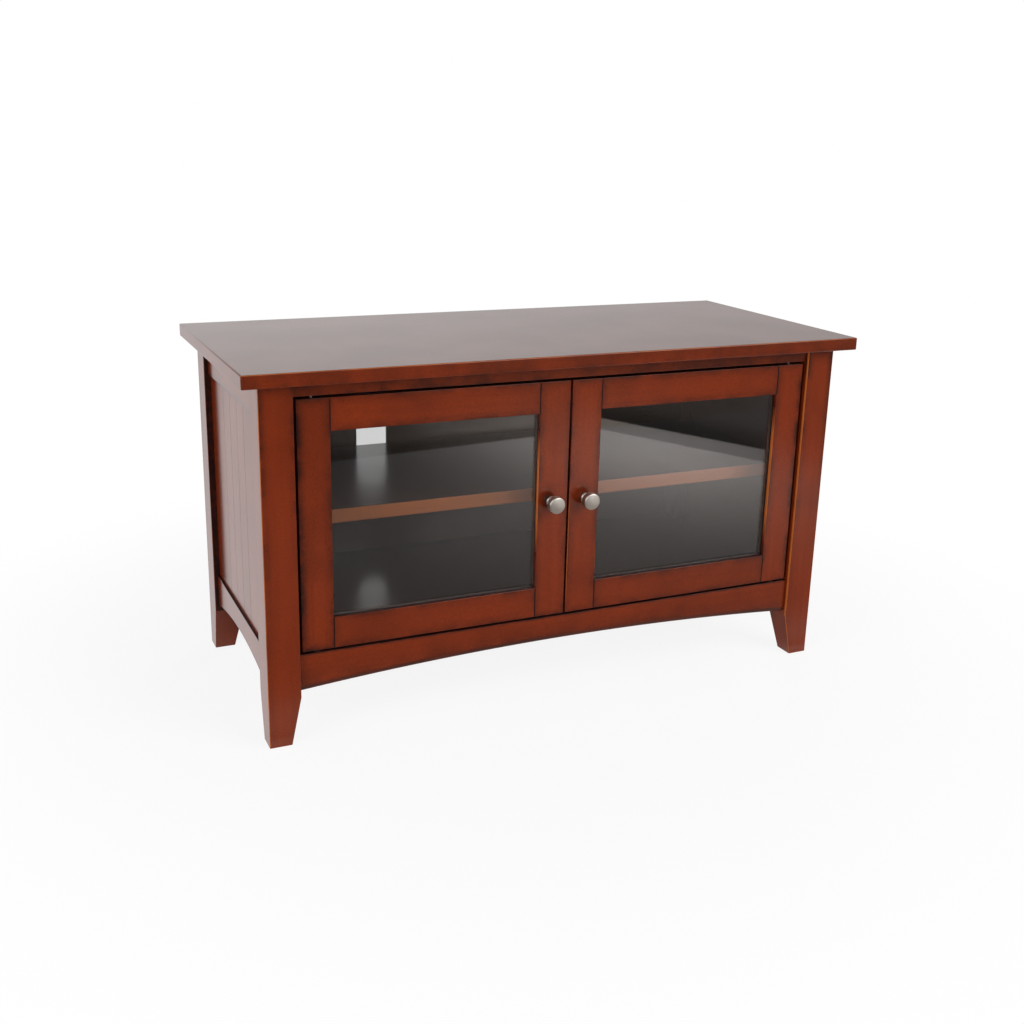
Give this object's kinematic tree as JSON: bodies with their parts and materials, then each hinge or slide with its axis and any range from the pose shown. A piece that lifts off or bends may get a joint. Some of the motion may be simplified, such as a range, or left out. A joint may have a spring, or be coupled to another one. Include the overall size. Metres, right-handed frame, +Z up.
{
  "type": "media cabinet",
  "caption": "Low cherry media cabinet on tapered posts with arched lower rails, boarded sides, an inner shelf and a pair of framed glass doors on pivot pins.",
  "frame": {"origin": "on the floor, under the middle of the top", "axes": "+X along the cabinet's width to the viewer's right, +Y from the doors to the back, +Z up"},
  "size_m": [0.914, 0.406, 0.508],
  "materials": {
    "cherry": "glossy stained lacquer",
    "dark_board": "glossy dark laminate",
    "plain_wood": "stained, unpolished",
    "glass": "clear, 4 mm",
    "brushed_nickel": "brushed",
    "zinc_steel": "zinc plated",
    "nylon": "moulded, dark brown",
    "magnet": "dark, ground"
  },
  "bodies": {
    "cabinet": {"top_panel": "cherry", "front_left_post": "cherry", "front_right_post": "cherry", "back_left_post": "cherry", "back_right_post": "cherry", "front_top_rail": "cherry", "front_arched_rail": "cherry", "back_top_rail": "dark_board", "back_lower_rail": "dark_board", "left_top_rail": "cherry", "right_top_rail": "cherry", "left_arched_rail": "cherry", "right_arched_rail": "cherry", "left_side_panel": "cherry", "right_side_panel": "cherry", "back_panel": "dark_board", "bottom_panel": "dark_board", "shelf": "cherry", "shelf_pins": "zinc_steel", "top_cleats": "plain_wood", "bottom_cleats": "plain_wood", "frame_dowels": "plain_wood", "top_screws": "zinc_steel", "cleat_screws": "zinc_steel", "back_panel_screws": "zinc_steel", "upper_bushings": "nylon", "lower_bushings": "nylon", "catch_housing": "nylon", "catch_magnets": "magnet", "catch_screws": "zinc_steel"},
    "left_door": {"left_door_outer_stile": "cherry", "left_door_inner_stile": "cherry", "left_door_top_rail": "cherry", "left_door_bottom_rail": "cherry", "left_door_glass": "glass", "left_door_glass_stops": "dark_board", "left_door_knob": "brushed_nickel", "left_door_knob_screw": "zinc_steel", "left_door_upper_pin": "zinc_steel", "left_door_lower_pin": "zinc_steel", "left_door_strike": "zinc_steel", "left_door_strike_screw": "zinc_steel"},
    "right_door": {"right_door_outer_stile": "cherry", "right_door_inner_stile": "cherry", "right_door_top_rail": "cherry", "right_door_bottom_rail": "cherry", "right_door_glass": "glass", "right_door_glass_stops": "dark_board", "right_door_knob": "brushed_nickel", "right_door_knob_screw": "zinc_steel", "right_door_upper_pin": "zinc_steel", "right_door_lower_pin": "zinc_steel", "right_door_strike": "zinc_steel", "right_door_strike_screw": "zinc_steel"}
  },
  "joints": [
    {"name": "left_door_hinge", "type": "hinge", "parent": "cabinet", "child": "left_door", "pos_m": [-0.3626, -0.167, 0.298], "axis": [0, 0, -1], "range_deg": [0, 130]},
    {"name": "right_door_hinge", "type": "hinge", "parent": "cabinet", "child": "right_door", "pos_m": [0.3626, -0.167, 0.298], "axis": [0, 0, 1], "range_deg": [0, 130]}
  ]
}
